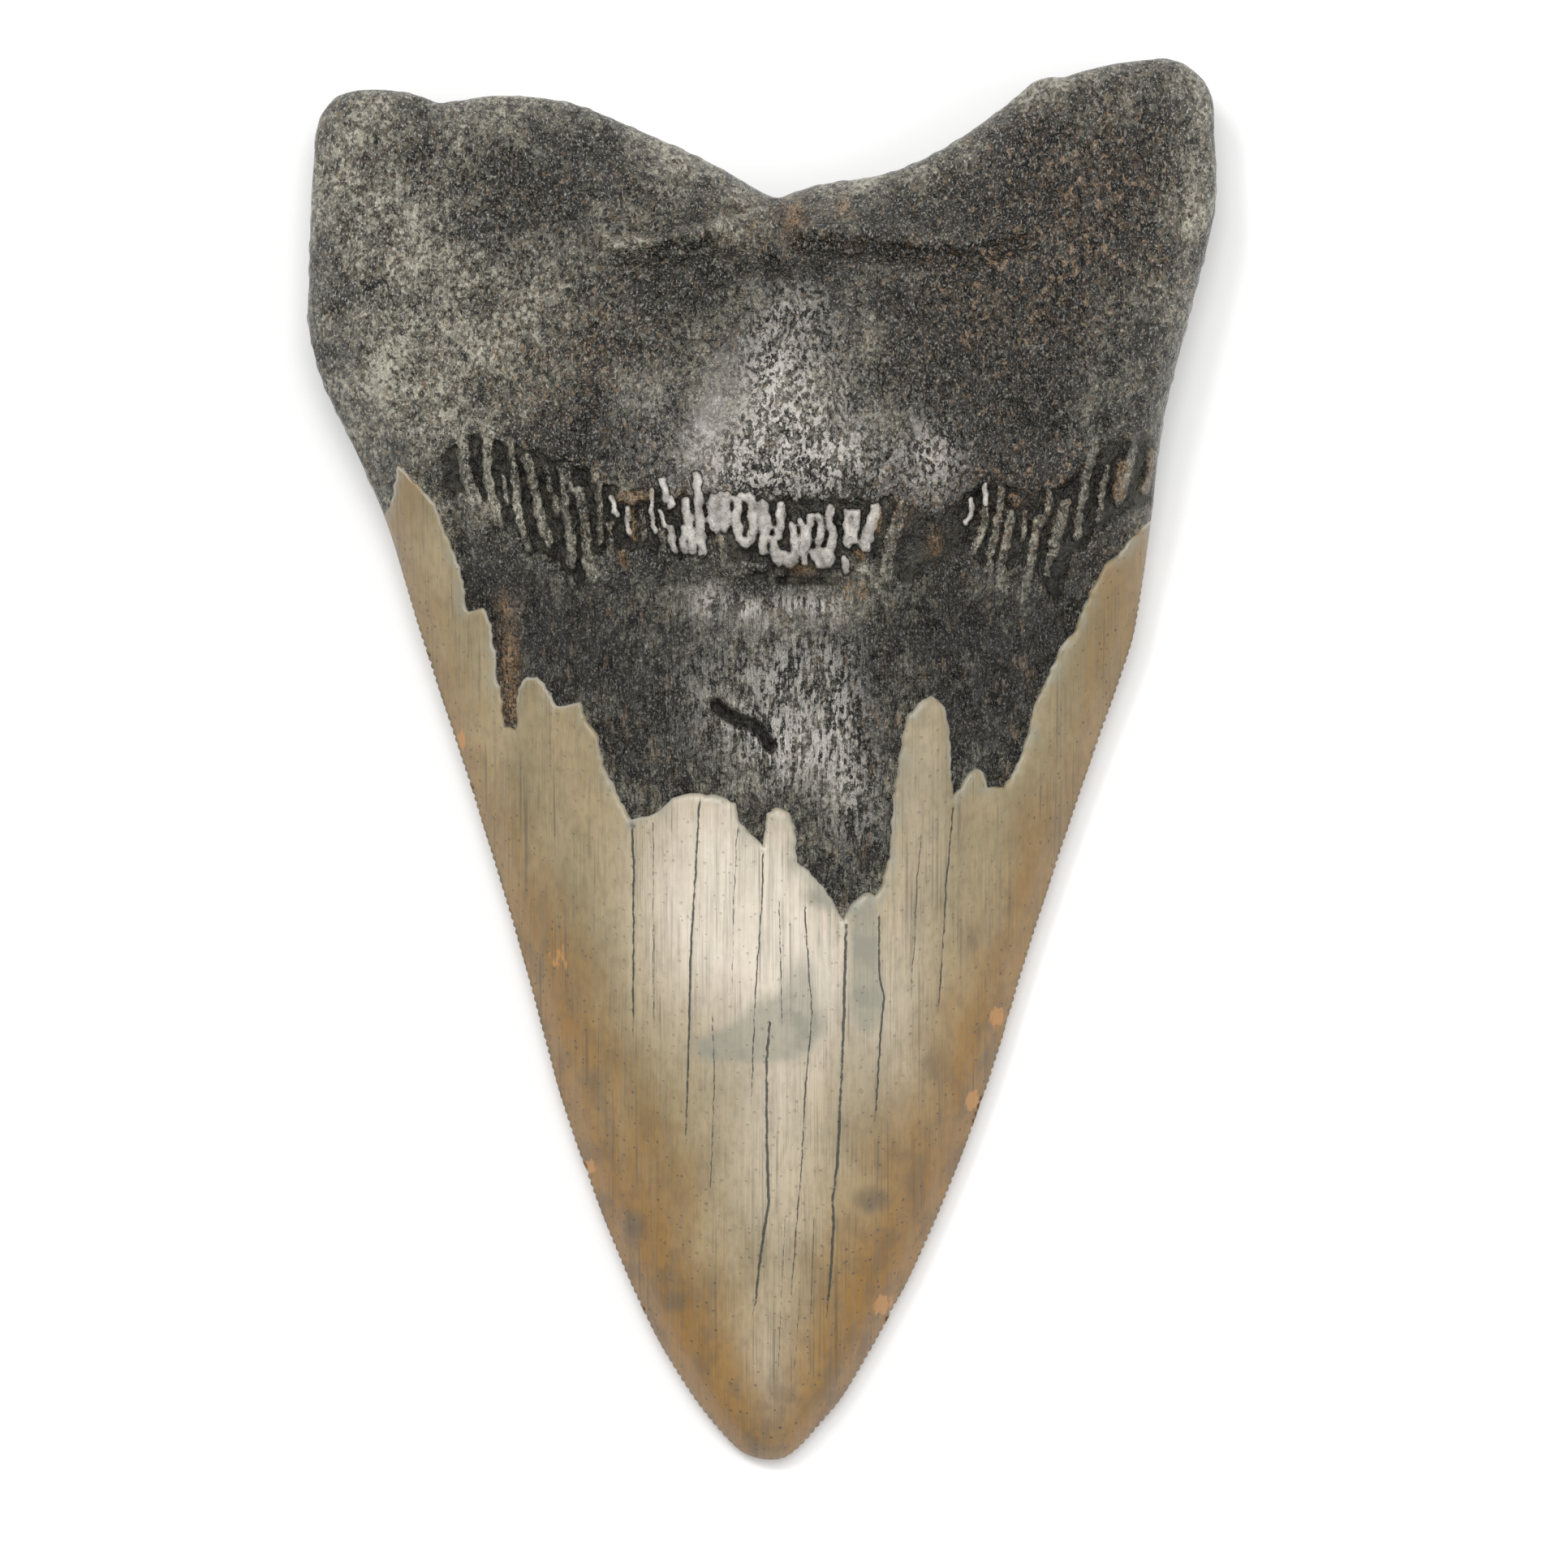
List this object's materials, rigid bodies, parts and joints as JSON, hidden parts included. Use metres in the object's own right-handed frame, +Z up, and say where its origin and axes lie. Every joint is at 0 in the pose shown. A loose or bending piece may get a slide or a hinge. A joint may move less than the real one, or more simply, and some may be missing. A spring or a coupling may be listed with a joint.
{
  "type": "fossil megalodon tooth",
  "caption": "Large triangular fossil shark tooth with a two-lobed root, a furrowed neck, a worn jagged enamel edge and serrated cutting edges, lying flat.",
  "frame": {"origin": "middle of the bounding box's underside, on the surface that the tooth lies on", "axes": "+Z up out of the domed lingual face, +Y from the crown's tip towards the root lobes, +X to the right of the face seen from above with the root at the top"},
  "size_m": [0.0888, 0.1372, 0.0252],
  "materials": {
    "fossil": "dark grey granular root over a glossy beige and brown enamel crown, worn and cracked"
  },
  "bodies": {
    "root": {"tooth": "fossil"}
  },
  "joints": []
}
